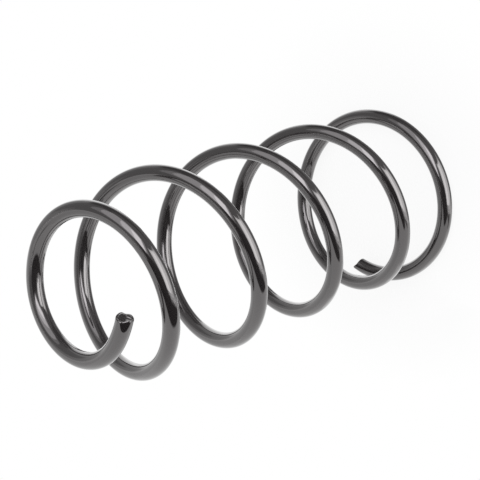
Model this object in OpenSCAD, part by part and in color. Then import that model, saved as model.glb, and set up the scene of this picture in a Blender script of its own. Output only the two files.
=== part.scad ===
// Helical compression spring, as on a suspension strut, standing on its large end.
// +Z runs up along the coil's axis from the large end to the small end, and the origin
// is on the surface that the spring stands on, under the middle of its box.
// The wire is one tube, swept along a centreline that the functions below work out.
// Turns are counted from the large end's cut face upwards.

/* [Wire] */
// Diameter of the round wire
wire_d = 12; // [8:0.5:14]
// Flats round the wire's section, one of which faces straight down
wire_sides = 18; // [10:4:18]
// Rings of points along each turn of wire
rings_per_turn = 54; // [36:2:56]

/* [Main coils] */
// Diameter over the main coils
coil_d = 147.5; // [130:0.5:180]
// Rise of the main coils in one turn
coil_pitch = 85.5; // [60:0.5:100]
// Turns of wire from end to end
coil_turns = 5.273; // [4:0.001:6]
// Where the large end's cut face stands round the axis, from +X towards +Y, in degrees
start_angle = 166.5; // [0:0.5:359.5]

/* [Large end] */
// Turns of wire wound flat, with no pitch, for the spring to stand on
large_flat_turns = 0.57; // [0.5:0.01:0.8]
// Turns after them over which the pitch grows to that of the main coils
large_rise_turns = 0.31; // [0.2:0.01:0.8]
// How far the first coil's centre is set off the axis of the main coils
large_shift = 9; // [0:1:12]
// Which way it is set off, from +X towards +Y, in degrees
large_shift_angle = 287; // [0:1:359]
// Turns over which it moves on to the axis
large_shift_turns = 1.08; // [0.6:0.02:1.4]

/* [Small end] */
// Diameter over the coil at the small end
small_d = 110; // [90:1:130]
// Turns of wire at that diameter
small_turns = 0.465; // [0.2:0.005:0.8]
// Turns before them over which the main coils draw in
small_draw_turns = 0.855; // [0.5:0.005:1.2]
// Turns before the small end's cut face over which the pitch closes
small_close_turns = 1.165; // [0.8:0.005:1.4]
// How far the small coil's centre is set off the axis of the main coils
small_shift = 14; // [0:1:18]
// Which way it is set off, from +X towards +Y, in degrees
small_shift_angle = 315; // [0:1:359]
// How far the wire opens out from that coil at its cut face
small_open = 1.8; // [0:0.1:4]
// Length of wire over which it opens out
small_open_len = 24; // [12:1:40]

/* [Large end's cut face] */
// Radius of the worn edge round both cut faces
edge_r = 0.8; // [0.4:0.1:1.5]
// Length of the flat that the shear pressed into the wire beside this face
large_press_len = 10; // [3:0.5:14]
// Depth of that flat at the face
large_press_depth = 1.5; // [0.2:0.1:2]
// Where it lies round the wire, from the outside of the coil upwards, in degrees
large_press_angle = 22; // [0:1:359]
// How far the tongue that the shear drew out stands proud of this face
tongue_h = 2.6; // [0:0.1:3]
// Where the tongue stands round the wire, in degrees
tongue_angle = 65; // [0:1:359]

/* [Small end's cut face] */
// Length of the flat pressed in beside this face
small_press_len = 6.5; // [3:0.5:12]
// Depth of that flat at the face
small_press_depth = 0.9; // [0.2:0.1:1.5]
// Where it lies round the wire, in degrees
small_press_angle = 36; // [0:1:359]
// Depth of the hollow that the shear left in this face
hollow_depth = 1; // [0:0.1:2]
// How far the face's rim waves up and down
lip_h = 0.5; // [0:0.1:1.2]
// Where one of the wave's four crests stands, in degrees
lip_angle = 13; // [0:1:89]

/* [Hidden] */

wire_r = wire_d / 2;
// Radii of the wire's centreline
main_r = (coil_d - wire_d) / 2;
small_r = (small_d - wire_d) / 2;
// Turns of wire per unit of length at the two ends
large_turns_per_len = 1 / (2 * PI * main_r);
small_turns_per_len = 1 / (2 * PI * small_r);
// Turns at which the changes along the wire begin
close_start = coil_turns - small_close_turns;
draw_start = coil_turns - small_turns - small_draw_turns;
// Turns ahead and behind between which the wire's direction is taken
nearby = 0.001;

// How much of a change is made, from 0 to 1: in a straight line, or easing in and out
function share(v) = min(1, max(0, v));
function eased(v) = let (s = share(v)) s * s * (3 - 2 * s);
function unit(v) = v / norm(v);

// Turns of full pitch gained by turn t where the pitch grows in a straight line from turn a to turn b
function gained(t, a, b) = t < a ? 0 : t > b ? t - (a + b) / 2 : (t - a) * (t - a) / (2 * (b - a));
function height(t) = coil_pitch
    * (gained(t, large_flat_turns, large_flat_turns + large_rise_turns) - gained(t, close_start, coil_turns));

// The wire's centreline at turn t, and its direction there
function outward(angle) = [cos(angle), sin(angle), 0];
function centre(t) =
    let (set_off = 1 - eased(t / large_shift_turns),
         drawn = eased((t - draw_start) / small_draw_turns),
         opened = max(0, 1 - (coil_turns - t) / (small_open_len * small_turns_per_len)),
         r = main_r + (small_r - main_r) * drawn + small_open * opened * opened)
    [0, 0, height(t)] + r * outward(start_angle + 360 * t)
    + large_shift * set_off * outward(large_shift_angle)
    + small_shift * drawn * outward(small_shift_angle);
function along(t) = unit(centre(t + nearby) - centre(t - nearby));

// A point beside the wire's centreline at turn t: its place round the section, its distance
// from the centreline, and how far it is pushed along the wire
function beside(t, angle, r, push = 0) =
    let (fwd = along(t),
         level = outward(start_angle + 360 * t),
         out = unit(level - (level * fwd) * fwd))
    centre(t) + push * fwd + r * (cos(angle) * out + sin(angle) * cross(out, fwd));
side_angles = [for (i = [0 : wire_sides - 1]) 360 * i / wire_sides];

// The worn edge of a cut face, a quarter circle: the distance behind the face at angle a of it,
// and how much radius is lost there
edge_step_angle = 30;
edge_angles = [0 : edge_step_angle : 90];
function edge_back(a) = edge_r * (1 - cos(a));
function edge_loss(a) = edge_r * (1 - sin(a));

// Distances behind a cut face of the rings along the flat pressed into the wire there, which
// fades out over its length, and how far from the centreline the wire reaches across it
press_steps = 3;
function press_back(i, press_len) = edge_r + (press_len - edge_r) * i / press_steps;
function fading(d, press_len) = share(1 - d / press_len);
function press_reach(angle, depth) =
    let (c = cos(angle))
    c > 0.1 ? (wire_r - depth) / c : wire_d;

// A ring of the large end, a distance d behind its cut face, with the tongue on it
tongue_power = 6;
function tongue(angle) = tongue_h * pow(max(0, cos(angle - tongue_angle)), tongue_power);
function large_end_ring(d, loss) =
    let (f = fading(d, large_press_len))
    [for (angle = side_angles)
        beside(d * large_turns_per_len, angle,
               min(wire_r - loss, press_reach(angle - large_press_angle, large_press_depth * f)),
               -tongue(angle) * f)];

// A ring of the small end, a distance d behind its cut face, with a wavy rim
function rim_push(angle) = lip_h * cos(4 * (angle - lip_angle));
function small_end_ring(d, loss) =
    let (f = fading(d, small_press_len))
    [for (angle = side_angles)
        beside(coil_turns - d * small_turns_per_len, angle,
               min(wire_r - loss, press_reach(angle - small_press_angle, small_press_depth * f)),
               rim_push(angle) * f)];

// The insides of the two cut faces: a flat one, and a hollow
function plain_ring(t, r, push = 0) = [for (angle = side_angles) beside(t, angle, r, push)];
face_r = 0.6 * (wire_r - edge_r);
large_face_ring = plain_ring(0, face_r);
hollow_ring = plain_ring(coil_turns, face_r, -0.8 * hollow_depth);
hollow_centre = beside(coil_turns, 0, 0, -hollow_depth);

// Rings along the plain wire between the ends
first_ring = floor(large_press_len * large_turns_per_len * rings_per_turn) + 1;
last_ring = ceil((coil_turns - small_press_len * small_turns_per_len) * rings_per_turn) - 1;

rings = concat(
    [large_face_ring],
    [for (a = edge_angles) large_end_ring(edge_back(a), edge_loss(a))],
    [for (i = [1 : press_steps]) large_end_ring(press_back(i, large_press_len), 0)],
    [for (k = [first_ring : last_ring]) plain_ring(k / rings_per_turn, wire_r)],
    [for (i = [press_steps : -1 : 1]) small_end_ring(press_back(i, small_press_len), 0)],
    [for (a = edge_angles) small_end_ring(edge_back(90 - a), edge_loss(90 - a))],
    [hollow_ring]);

// All points, moved so that the origin is under the middle of the spring
surface = concat([for (ring = rings) for (p = ring) p], [hollow_centre]);
low_corner = [for (i = [0 : 2]) min([for (p = surface) p[i]])];
high_corner = [for (i = [0 : 2]) max([for (p = surface) p[i]])];
base = [(low_corner[0] + high_corner[0]) / 2, (low_corner[1] + high_corner[1]) / 2, low_corner[2]];
points = [for (p = surface) p - base];

// The large end's flat face, triangles between neighbouring rings, and a fan over the hollow
n = wire_sides;
last = len(rings) - 1;
function at(ring, side) = ring * n + side % n;
large_face = [for (i = [n - 1 : -1 : 0]) at(0, i)];
wall = [for (k = [0 : last - 1]) for (i = [0 : n - 1]) each [
    [at(k, i), at(k, i + 1), at(k + 1, i + 1)],
    [at(k, i), at(k + 1, i + 1), at(k + 1, i)]]];
hollow = [for (i = [0 : n - 1]) [len(surface) - 1, at(last, i), at(last, i + 1)]];

module coil_spring() {
    color([0.08, 0.08, 0.08])
        polyhedron(points = points, faces = concat([large_face], wall, hollow), convexity = 12);
}

coil_spring();
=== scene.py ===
import math

import bpy
import numpy as np
from mathutils import Matrix, Vector


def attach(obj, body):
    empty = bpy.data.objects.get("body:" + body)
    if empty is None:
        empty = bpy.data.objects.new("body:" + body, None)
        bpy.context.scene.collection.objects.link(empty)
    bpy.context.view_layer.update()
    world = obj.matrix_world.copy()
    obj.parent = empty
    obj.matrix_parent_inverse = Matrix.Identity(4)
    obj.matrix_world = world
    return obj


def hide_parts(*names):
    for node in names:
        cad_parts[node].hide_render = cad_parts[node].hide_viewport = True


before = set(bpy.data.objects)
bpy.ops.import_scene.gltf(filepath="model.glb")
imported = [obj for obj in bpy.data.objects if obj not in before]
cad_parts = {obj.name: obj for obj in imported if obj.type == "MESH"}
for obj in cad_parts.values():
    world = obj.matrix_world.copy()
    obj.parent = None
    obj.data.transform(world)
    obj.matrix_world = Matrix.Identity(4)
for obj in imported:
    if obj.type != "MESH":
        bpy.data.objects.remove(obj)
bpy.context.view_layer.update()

# Camera: the photo's width and focal length in pixels, its viewpoint in metres, and its directions
IMAGE = 480
FOCAL = 1325.65
SENSOR = 36
EYE = Vector((0.32664, -0.632, 0.87759))
LOOK = Vector((-0.32511, 0.63186, -0.70361))
DOWN = Vector((-0.94546, -0.23327, 0.22737))


def placed(place, up, back):
    """The matrix of something at a place that faces away from back."""
    side = up.cross(back)
    return Matrix.Translation(place) @ Matrix((side, up, back)).transposed().to_4x4()


def make_camera():
    """The photo's viewpoint, rolled so that the standing spring appears as it lies in the photo."""
    data = bpy.data.cameras.new("camera")
    data.sensor_width = SENSOR
    data.lens = FOCAL / IMAGE * SENSOR
    data.clip_start = 0.01
    data.clip_end = 50
    cam = bpy.data.objects.new("camera", data)
    back = -LOOK.normalized()
    up = (-DOWN - (-DOWN).dot(back) * back).normalized()
    cam.matrix_world = placed(EYE, up, back)
    bpy.context.collection.objects.link(cam)
    bpy.context.scene.camera = cam


# Wire: the source's own sizes, in millimetres, turns and degrees
WIRE_R = 6.0
COIL_R = 67.75
PITCH = 85.5
TURNS = 5.273
START = 166.5
FLAT_TURNS = 0.57
RISE_TURNS = 0.31
LARGE_SHIFT = 9.0
LARGE_SHIFT_ANGLE = 287.0
LARGE_SHIFT_TURNS = 1.08
SMALL_R = 49.0
SMALL_TURNS = 0.465
DRAW_TURNS = 0.855
CLOSE_TURNS = 1.165
SMALL_SHIFT = 14.0
SMALL_SHIFT_ANGLE = 315.0
SMALL_OPEN = 1.8
SMALL_OPEN_LEN = 24.0
EDGE_R = 0.8
FACE_R = WIRE_R - EDGE_R
TONGUE_H = 2.6
TONGUE_ANGLE = 65.0
# The source's origin, seen from the main coils' axis at the height where the wire's centreline starts
BASE = np.array([0.663218, -3.58651, -5.90885])
# Turns ahead and behind between which the wire's direction is taken
NEARBY = 0.001

# Cut faces: more than the source has of them, in the same units
# Flats that the shear pressed into the wire: length, depth, place round the wire, and how hollow.
# Places round the wire go from the outside of the coil upwards.
LARGE_PRESS = (10.0, 1.5, 22.0, 0.0)
SMALL_PRESS = (7.0, 0.95, 40.0, 0.25)
# The small end's torn rim: places round the wire and heights there
RIM = [(3, 0.45), (20, 0.45), (41, -0.2), (63, -0.8), (97, -0.65), (135, -0.7), (165, -0.1), (187, 0.4),
       (205, 0.35), (229, -0.7), (250, 0.1), (270, 0.25), (293, 0.0), (325, -0.1)]
# Lengths of wire over which the rim's waves fade out, and over which the wall follows the rolled edge
RIM_LEN = 6.5
ROLLED_LEN = 3.0
# The face takes the rim's height only right beside the rim
RIM_POWER = 9
# How much the small end's worn edge is wider and narrower than EDGE_R, at most
ROLLED = 0.3
# How far the torn face's own directions are turned against the places round the wire
FACE_TURN = 42
# Length of wire behind the small end's face that has closer rings
SMALL_END_LEN = 7.8
# Radii of the rings on the two faces, and the radius at which the tongue begins to rise
LARGE_FACE_RADII = np.array([0.3, 1.5, 3.0, 4.0, 4.7])
SMALL_FACE_RADII = np.concatenate([np.linspace(FACE_R, 3.4, 13)[1:], np.linspace(3.4, 0.15, 20)[1:]])
TONGUE_START = 3.0

SIDES = 72
RINGS_PER_TURN = 200
EDGE_RINGS = 9
LARGE_END_RINGS = 24
SMALL_END_RINGS = 22
ANGLES = np.arange(SIDES) * 2 * math.pi / SIDES
DEGREES = np.degrees(ANGLES)


def eased(v):
    """0 to 1, easing in and out."""
    s = np.clip(v, 0, 1)
    return s * s * (3 - 2 * s)


def ramp(v, rounding):
    """0 below 0 and v above it, with the corner rounded off."""
    return rounding * np.log1p(np.exp(np.clip(v / rounding, -40, 40)))


def around(degrees, place, reach):
    """1 at a place round the wire, falling smoothly to 0 at a reach of degrees from it."""
    off = (degrees - place + 180) % 360 - 180
    s = np.clip(np.abs(off / reach), 0, 1)
    return (1 - s * s) ** 2


def gained(t, a, b):
    """Turns of full pitch gained by turn t where the pitch grows in a straight line from a to b."""
    return np.where(t < a, 0, np.where(t > b, t - (a + b) / 2, (t - a) ** 2 / (2 * (b - a))))


def outward(degrees):
    a = np.radians(degrees)
    return np.stack([np.cos(a), np.sin(a), 0 * a], -1)


def large_turns(length):
    return length / (2 * math.pi * COIL_R)


def small_turns(length):
    return length / (2 * math.pi * SMALL_R)


def centre(t):
    """The wire's centreline at turns t."""
    height = PITCH * (gained(t, FLAT_TURNS, FLAT_TURNS + RISE_TURNS) - gained(t, TURNS - CLOSE_TURNS, TURNS))
    set_off = 1 - eased(t / LARGE_SHIFT_TURNS)
    drawn = eased((t - (TURNS - SMALL_TURNS - DRAW_TURNS)) / DRAW_TURNS)
    opened = np.maximum(0, 1 - (TURNS - t) / small_turns(SMALL_OPEN_LEN))
    r = COIL_R + (SMALL_R - COIL_R) * drawn + SMALL_OPEN * opened ** 2
    p = r[:, None] * outward(START + 360 * t) \
        + LARGE_SHIFT * set_off[:, None] * outward(LARGE_SHIFT_ANGLE) \
        + SMALL_SHIFT * drawn[:, None] * outward(SMALL_SHIFT_ANGLE)
    p[:, 2] += height
    return p - BASE


def rings_at(t, radius, push):
    """Rings of points at turns t: radius and push have one row a ring and one column a side."""
    fwd = centre(t + NEARBY) - centre(t - NEARBY)
    fwd /= np.linalg.norm(fwd, axis=1)[:, None]
    level = outward(START + 360 * t)
    out = level - (level * fwd).sum(1)[:, None] * fwd
    out /= np.linalg.norm(out, axis=1)[:, None]
    side = np.cross(out, fwd)
    ring = out[:, None] * np.cos(ANGLES)[None, :, None] + side[:, None] * np.sin(ANGLES)[None, :, None]
    return centre(t)[:, None] + radius[:, :, None] * ring + push[:, :, None] * fwd[:, None]


def press_reach(d, press):
    """How far the wire reaches at distances d behind a cut face, where the shear pressed it flat."""
    length, depth, angle, hollowed = press
    u = np.clip(d / length, 0, 1)
    deep = depth * (1 - u) * (1 + hollowed * u)
    c = np.cos(ANGLES - math.radians(angle))[None]
    flat = np.where(c > 0.1, (WIRE_R - deep[:, None]) / np.maximum(c, 0.1), 99)
    # the flat's border is rolled over, not sharp
    soft = 0.002 + 0.1 * np.clip(deep / depth, 0, 1)[:, None]
    return WIRE_R - ramp(WIRE_R - flat, soft)


def worn_edge():
    """The worn edge of a cut face, from face to wall: distances behind the face, and lost radius."""
    a = np.linspace(0, math.pi / 2, EDGE_RINGS)
    return EDGE_R * (1 - np.cos(a)), EDGE_R * (1 - np.sin(a))


def small_edge_r():
    """Radius of the small end's worn edge: larger at the near lip, smaller a quarter turn further on."""
    return EDGE_R + ROLLED * around(DEGREES, 62, 75) - ROLLED * around(DEGREES, 155, 70)


def tongue():
    """How far the shear drew the large end's face out, round the wire."""
    return TONGUE_H * np.maximum(0, np.cos(ANGLES - math.radians(TONGUE_ANGLE))) ** 6


def rim():
    """The torn rim's height round the wire: a smooth curve through RIM."""
    knots = np.array([(a + turn, h) for turn in (-360, 0, 360) for a, h in RIM], float)
    k = np.searchsorted(knots[:, 0], DEGREES, side="right") - 1
    before, a, b, after = knots[k - 1], knots[k], knots[k + 1], knots[k + 2]
    span = b[:, 0] - a[:, 0]
    u = (DEGREES - a[:, 0]) / span
    slope_a = (b[:, 1] - before[:, 1]) / (b[:, 0] - before[:, 0]) * span
    slope_b = (after[:, 1] - a[:, 1]) / (after[:, 0] - a[:, 0]) * span
    return (2 * u**3 - 3 * u**2 + 1) * a[:, 1] + (u**3 - 2 * u**2 + u) * slope_a \
        + (3 * u**2 - 2 * u**3) * b[:, 1] + (u**3 - u**2) * slope_b


def face_height(rho, deg):
    """The small end's torn face: a deep hollow behind its near lip, and beside it a plateau that ends
    in a steep step. It is measured across the face and towards the near lip."""
    across = rho * np.cos(np.radians(deg + FACE_TURN))
    near = rho * np.sin(np.radians(deg + FACE_TURN))
    # the hollow, on the left: nearly level, then falling towards the near lip
    left = 0.72 - 0.04 * (near + 5) - 0.28 * ramp(near + 1.9, 0.3)
    # it also falls towards the left rim and the far rim beside it
    left = left - 0.36 * ramp(rho - 3.7, 0.15) * around(deg, 187, 70) \
        - 0.55 * ramp(rho - 3.7, 0.15) * around(deg, 138, 50)
    # lumps where the wire broke off instead of being sheared
    lumps = 0.5 * np.sin(2.7 * across + 1.1 * near + 0.4) + 0.4 * np.sin(3.3 * near - 1.3 * across + 1.0) \
        + 0.3 * np.sin(4.1 * across - 2.2 * near + 2.1)
    left = left + 0.09 * lumps * eased((-1.2 - near) / 1.2) + 0.03 * lumps
    # the plateau, on the right, then a step down of 40 degrees and a level floor
    past = near - (-1.75 + 0.36 * (across - 0.9))
    right = 0.42 - 0.04 * (near + 5) - 0.84 * (ramp(past, 0.07) - ramp(past - 0.9, 0.07))
    # a slope between the two, from the far rim to the step's end
    edge = (across + 1.6) * 0.81 - (np.minimum(near, -1.6) + 5.0) * 0.59
    return left + (right - left) * eased(edge + 0.5)


def large_end():
    """The flat face with its tongue, the worn edge and the pressed flat."""
    radii = LARGE_FACE_RADII[:, None]
    at_face = 0 * LARGE_FACE_RADII
    reach = press_reach(at_face, LARGE_PRESS) - EDGE_R
    lift = np.clip((radii - TONGUE_START) / (FACE_R - TONGUE_START), 0, 1) ** 2 * tongue()
    face = rings_at(at_face, np.minimum(radii, reach * radii / FACE_R), -lift)
    back, lost = worn_edge()
    steps = np.linspace(EDGE_R, LARGE_PRESS[0], LARGE_END_RINGS)[1:]
    d = np.concatenate([back, steps])
    lost = np.concatenate([lost, 0 * steps])[:, None]
    fade = np.clip(1 - d / LARGE_PRESS[0], 0, 1)[:, None]
    wall = rings_at(large_turns(d), press_reach(d, LARGE_PRESS) - lost, -fade * tongue())
    return [face, wall]


def plain_wire():
    first = large_turns(LARGE_PRESS[0])
    last = TURNS - small_turns(SMALL_END_LEN)
    t = np.arange(math.floor(first * RINGS_PER_TURN) + 1, math.ceil(last * RINGS_PER_TURN)) / RINGS_PER_TURN
    full = np.full((len(t), SIDES), WIRE_R)
    return rings_at(t, full, 0 * full)


def small_end():
    """The pressed flat, the rolled edge and the torn face."""
    back, lost = worn_edge()
    steps = np.linspace(EDGE_R, SMALL_END_LEN, SMALL_END_RINGS)[1:][::-1]
    d = np.concatenate([steps, back[::-1]])
    rolled = small_edge_r() / EDGE_R
    lost = np.concatenate([0 * steps, lost[::-1]])[:, None] * rolled
    along_wall = EDGE_R * np.clip(1 - (steps - EDGE_R) / ROLLED_LEN, 0, 1) ** 2
    set_back = np.concatenate([along_wall, back[::-1]])[:, None] * (1 - rolled)
    fade = np.clip(1 - d / RIM_LEN, 0, 1)[:, None]
    wall = rings_at(TURNS - small_turns(d), press_reach(d, SMALL_PRESS) - lost, fade * rim() + set_back)
    radii = SMALL_FACE_RADII[:, None]
    at_face = 0 * SMALL_FACE_RADII
    rho = (press_reach(at_face, SMALL_PRESS) - small_edge_r()) * radii / FACE_R
    share = (radii / FACE_R) ** RIM_POWER
    height = (1 - share) * face_height(rho, DEGREES) + share * rim()
    face = rings_at(TURNS + at_face, rho, height)
    return [wall, face]


def linked(name, points, faces):
    mesh = bpy.data.meshes.new(name)
    mesh.from_pydata(points, [], faces)
    obj = bpy.data.objects.new(name, mesh)
    bpy.context.collection.objects.link(obj)
    return obj


def make_spring():
    rings = np.concatenate([*large_end(), plain_wire(), *small_end()])
    n = len(rings)
    points = rings.reshape(-1, 3) / 1000
    # nothing goes below the surface that the spring stands on
    points[:, 2] = np.maximum(points[:, 2], 0)
    faces = []
    for k in range(n - 1):
        for i in range(SIDES):
            j = (i + 1) % SIDES
            faces.append((k * SIDES + i, k * SIDES + j, (k + 1) * SIDES + j, (k + 1) * SIDES + i))
    faces.append(tuple(range(SIDES - 1, -1, -1)))
    faces.append(tuple((n - 1) * SIDES + i for i in range(SIDES)))
    obj = linked("spring", points.tolist(), faces)
    obj.data.shade_smooth()
    return obj


# Materials
COATING = (0.0158, 0.014, 0.0143, 1)
DUST = (0.06, 0.055, 0.05, 1)
SHEEN_TINT = (1, 0.955, 0.958, 1)


def new_material(name):
    mat = bpy.data.materials.new(name)
    mat.use_nodes = True
    return mat, mat.node_tree


def add_node(tree, kind, inputs=None, **settings):
    """A node with its settings, and with values for the inputs that nothing is linked to."""
    node = tree.nodes.new(kind)
    for name, value in settings.items():
        setattr(node, name, value)
    for name, value in (inputs or {}).items():
        node.inputs[name].default_value = value
    return node


def noise(tree, scale, detail):
    place = add_node(tree, "ShaderNodeTexCoord")
    tex = add_node(tree, "ShaderNodeTexNoise", {"Scale": scale, "Detail": detail})
    tree.links.new(place.outputs["Object"], tex.inputs["Vector"])
    return tex.outputs["Fac"]


def mapped(tree, value, low, high, to_low=0.0, to_high=1.0):
    """The value's range from low to high, eased into the range from to_low to to_high."""
    node = add_node(tree, "ShaderNodeMapRange", interpolation_type="SMOOTHSTEP",
                    inputs={"From Min": low, "From Max": high, "To Min": to_low, "To Max": to_high})
    tree.links.new(value, node.inputs["Value"])
    return node.outputs["Result"]


def bump(tree, height, distance, normal=None):
    node = add_node(tree, "ShaderNodeBump", {"Strength": 1.0, "Distance": distance})
    tree.links.new(height, node.inputs["Height"])
    if normal is not None:
        tree.links.new(normal, node.inputs["Normal"])
    return node.outputs["Normal"]


def mixed(tree, share, first, second):
    mix = add_node(tree, "ShaderNodeMixShader")
    tree.links.new(share, mix.inputs["Fac"])
    tree.links.new(first, mix.inputs[1])
    tree.links.new(second, mix.inputs[2])
    return mix.outputs[0]


def coating_material():
    """Gloss black paint: a clear skin over a slightly duller one, with orange peel, slow waves and dust."""
    mat, tree = new_material("black_coating")
    shader = tree.nodes["Principled BSDF"]
    shader.inputs["IOR"].default_value = 1.87
    shader.inputs["Specular Tint"].default_value = SHEEN_TINT
    shader.inputs["Coat Weight"].default_value = 1.0
    shader.inputs["Coat Roughness"].default_value = 0.035
    shader.inputs["Coat IOR"].default_value = 1.5
    # duller patches a few centimetres long
    tree.links.new(mapped(tree, noise(tree, 45, 3), 0.35, 0.7, 0.05, 0.10), shader.inputs["Roughness"])
    # tiny specks of dust: a colour mix has its two colours at 6 and 7, and its result at 2
    colour = add_node(tree, "ShaderNodeMix", data_type="RGBA")
    colour.inputs[6].default_value = COATING
    colour.inputs[7].default_value = DUST
    tree.links.new(mapped(tree, noise(tree, 900, 1), 0.74, 0.80), colour.inputs[0])
    tree.links.new(colour.outputs[2], shader.inputs["Base Color"])
    waves = bump(tree, noise(tree, 70, 1), 0.00008)
    peel = bump(tree, noise(tree, 650, 2), 0.00001, waves)
    tree.links.new(peel, shader.inputs["Normal"])
    tree.links.new(waves, shader.inputs["Coat Normal"])
    return mat


# Floor: its radius in metres, and how its share of plain white grows from the middle outwards
FLOOR_R = 0.32
FLOOR_SIDES = 96
WHITE_FROM = 0.08
WHITE_TO = 0.18
LEAST_WHITE = 0.9


def floor_material():
    """White board: mostly plain white, with a faint shadow, fading into the white background."""
    mat, tree = new_material("floor")
    shader = tree.nodes["Principled BSDF"]
    shader.inputs["Base Color"].default_value = (0.9, 0.9, 0.9, 1)
    shader.inputs["Roughness"].default_value = 0.9
    shader.inputs["Specular IOR Level"].default_value = 0.0
    tree.links.new(bump(tree, noise(tree, 400, 4), 0.0001), shader.inputs["Normal"])
    white = add_node(tree, "ShaderNodeEmission", {"Strength": 1.0})
    place = add_node(tree, "ShaderNodeNewGeometry")
    length = add_node(tree, "ShaderNodeVectorMath", operation="LENGTH")
    tree.links.new(place.outputs["Position"], length.inputs[0])
    share = mapped(tree, length.outputs["Value"], WHITE_FROM, WHITE_TO, LEAST_WHITE, 1.0)
    surface = mixed(tree, share, shader.outputs[0], white.outputs[0])
    tree.links.new(surface, tree.nodes["Material Output"].inputs["Surface"])
    return mat


def make_floor():
    """A disc under the spring. It isn't seen in reflections, where it would hide the boards below."""
    step = 2 * math.pi / FLOOR_SIDES
    points = [(FLOOR_R * math.cos(step * i), FLOOR_R * math.sin(step * i), 0) for i in range(FLOOR_SIDES)]
    floor = linked("floor", points, [tuple(range(FLOOR_SIDES))])
    floor.data.materials.append(floor_material())
    floor.visible_glossy = False


# Studio
# Which way the camera looks, the middle of the spring, and how far from it the panels and lamps are
VIEW_AZ = 43.7
MIDDLE = Vector((0, 0, 0.175))
FAR = 2.4
LAMP_FAR = 2.0
# Degrees from point to point of a panel, and the gap between one panel and the next
PANEL_STEP = 6
PANEL_GAP = 0.02

# Grey boards and darkness of the studio, the later ones in front of the earlier ones
PANELS = [
    # name, azimuths, elevations, strength, width of the soft border
    ("room_back", 100, 308, -14, 96, 0.33, 10),
    ("ceiling", -90, 118, 38, 96, 0.12, 12),
    ("ceiling_left", 56, 124, 42, 76, 0.28, 12),
    ("ceiling_top", -180, 180, 76, 90, 0.25, 8),
    ("backdrop", -18, 31, -6, 43, 1.4, 9),
    ("wall_left", 50, 128, -8, 58, 0.36, 12),
    ("wall_left_low", 40, 106, -14, 15, 0.6, 10),
    ("backdrop_left", 31, 66, -6, 56, 0.55, 8),
    ("wall_right", -84, -13, -16, 54, 0.28, 12),
    ("floor_left", 24, 140, -60, -10, 0.82, 12),
    ("floor_left_deep", 10, 160, -84, -48, 0.95, 14),
    ("floor_right", -150, -24, -84, -24, 1.32, 14),
    ("behind_camera", 140, 214, -30, 18, 0.055, 7),
    ("behind_camera_low", 118, 262, -31, -10, 0.2, 7),
    ("behind_camera_right", 178, 224, -38, -8, 0.03, 3),
    ("behind_camera_dark", 150, 210, -25, 10, 0.035, 6),
]

# Two strips near the spring, level with its -X side: the front of a white board, and darkness beyond
# it. The board's edge is given in metres to the right of the spring's foot and towards the camera.
BOARD_EDGE = [(-0.5, 0.525), (-0.2, 0.355), (-0.1, 0.305), (0, 0.237), (0.05, 0.195), (0.1, 0.205),
              (0.15, 0.245), (0.2, 0.275)]
BOARD_X = -0.0744
BOARDS = [
    # name, edge points, start and width from the edge, skew to the right, depth below, strength, borders
    ("room_beyond_board", 7, -0.03, 0.36, -0.12, 0.002, 0.01, (0.06, 0.05)),
    ("board_front", 8, -0.14, 0.15, 0.0, 0.0, 0.95, (0.02, 0.12)),
]

# The two softboxes, each brighter in the middle than at the rim
LAMPS = [
    # name, azimuth, elevation, width and height in degrees, roll, strength
    ("softbox_left_rim", 141, 42, 88, 66, -8, 0.4),
    ("softbox_left_wide", 152, 41, 56, 58, -15, 0.75),
    ("softbox_left_core", 161, 37, 30, 46, -24, 1.25),
    ("softbox_left_edge", 167, 33, 14, 42, -28, 1.6),
    ("softbox_right_rim", -103, 14, 102, 56, 0, 0.75),
    ("softbox_right_wide", -116, 16, 80, 50, 0, 0.75),
    ("softbox_right", -125, 18, 64, 46, 0, 1.0),
    ("softbox_right_core", -137, 18, 40, 45, 0, 1.2),
    ("softbox_right_edge", -141, 17, 26, 42, 0, 0.6),
]
LEFT_COLOUR = (1, 0.985, 1.01)


def toward(az, el):
    """A direction by its azimuth to the left of the camera's view and its elevation, in degrees, both as
    the picture shows them: there the spring's axis is level, and +X points up."""
    a = math.radians(VIEW_AZ + az)
    e = math.radians(el)
    return Vector((math.sin(e), math.cos(e) * math.sin(a), -math.cos(e) * math.cos(a)))


def panel_material(name, strength, borders):
    """A grey board whose brightness fades out over its borders, each a share of the board's size."""
    mat, tree = new_material(name)
    tree.nodes.clear()
    glow = add_node(tree, "ShaderNodeEmission", {"Strength": strength})
    clear = add_node(tree, "ShaderNodeBsdfTransparent")
    place = add_node(tree, "ShaderNodeUVMap")
    split = add_node(tree, "ShaderNodeSeparateXYZ")
    tree.links.new(place.outputs[0], split.inputs[0])
    both = add_node(tree, "ShaderNodeMath", operation="MULTIPLY")
    for axis in (0, 1):
        off = add_node(tree, "ShaderNodeMath", {1: 0.5}, operation="SUBTRACT")
        tree.links.new(split.outputs[axis], off.inputs[0])
        size = add_node(tree, "ShaderNodeMath", operation="ABSOLUTE")
        tree.links.new(off.outputs[0], size.inputs[0])
        tree.links.new(mapped(tree, size.outputs[0], 0.5, 0.5 - borders[axis]), both.inputs[axis])
    out = add_node(tree, "ShaderNodeOutputMaterial")
    surface = mixed(tree, both.outputs[0], clear.outputs[0], glow.outputs[0])
    tree.links.new(surface, out.inputs["Surface"])
    return mat


def add_panel(name, points, faces, uv, strength, borders):
    """A board that only reflections and light see."""
    obj = linked(name, [tuple(p) for p in points], faces)
    layer = obj.data.uv_layers.new(name="panel")
    for loop in obj.data.loops:
        layer.data[loop.index].uv = uv[loop.vertex_index]
    obj.data.materials.append(panel_material(name, strength, borders))
    obj.visible_camera = False


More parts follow.
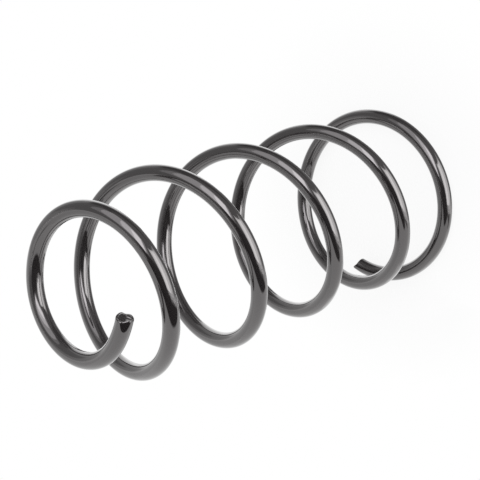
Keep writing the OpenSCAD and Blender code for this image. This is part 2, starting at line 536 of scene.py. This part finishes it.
def make_panel(index, name, az0, az1, el0, el1, strength, soft):
    """A board that covers a range of azimuths and elevations, seen from the spring."""
    steps_a = max(2, int((az1 - az0) / PANEL_STEP))
    steps_e = max(2, int((el1 - el0) / PANEL_STEP))
    far = FAR - PANEL_GAP * index
    points, uv = [], []
    for j in range(steps_e + 1):
        for i in range(steps_a + 1):
            u, v = i / steps_a, j / steps_e
            uv.append((u, v))
            points.append(MIDDLE + far * toward(az0 + (az1 - az0) * u, el0 + (el1 - el0) * v))
    w = steps_a + 1
    corners = [j * w + i for j in range(steps_e) for i in range(steps_a)]
    faces = [(k, k + 1, k + w + 1, k + w) for k in corners]
    borders = (min(0.5, soft / (az1 - az0)), min(0.5, soft / (el1 - el0)))
    add_panel(name, points, faces, uv, strength, borders)


def make_board(name, count, start, width, skew, below, strength, borders):
    """A strip along the board's front edge."""
    edge = BOARD_EDGE[:count]
    left = edge[0][0]
    span = edge[-1][0] - left
    points, uv = [], []
    for right, near in edge:
        for j in (0, 1):
            points.append(Vector((BOARD_X - below, 0, 0)) + (right + j * skew) * toward(-90, 0)
                          + (near + start + j * width) * toward(180, 0))
            uv.append(((right - left) / span, j))
    faces = [(k, k + 1, k + 3, k + 2) for k in range(0, 2 * count - 2, 2)]
    add_panel(name, points, faces, uv, strength, borders)


def make_lamp(name, az, el, width, height, roll, strength):
    """An area lamp of a width and height in degrees, as bright as a panel of that strength."""
    data = bpy.data.lights.new(name, "AREA")
    data.shape = "RECTANGLE"
    data.size = 2 * LAMP_FAR * math.tan(math.radians(width / 2))
    data.size_y = 2 * LAMP_FAR * math.tan(math.radians(height / 2))
    data.energy = strength * math.pi * data.size * data.size_y
    if az > 0:
        data.color = LEFT_COLOUR
    obj = bpy.data.objects.new(name, data)
    back = toward(az, el)
    up = Matrix.Rotation(math.radians(roll), 3, back) @ toward(az, el + 90)
    obj.matrix_world = placed(MIDDLE + LAMP_FAR * back, up, back)
    obj.visible_camera = False
    bpy.context.collection.objects.link(obj)


def make_world():
    world = bpy.data.worlds.new("world")
    world.use_nodes = True
    back = world.node_tree.nodes["Background"]
    back.inputs["Color"].default_value = (1, 1, 1, 1)
    back.inputs["Strength"].default_value = 1.0
    bpy.context.scene.world = world


make_camera()

spring = make_spring()
spring.data.materials.append(coating_material())
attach(spring, "root")
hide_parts("coil_spring")

make_floor()
for index, spec in enumerate(PANELS):
    make_panel(index, *spec)
for spec in BOARDS:
    make_board(*spec)
for spec in LAMPS:
    make_lamp(*spec)
make_world()

bpy.context.scene.view_settings.view_transform = "Standard"
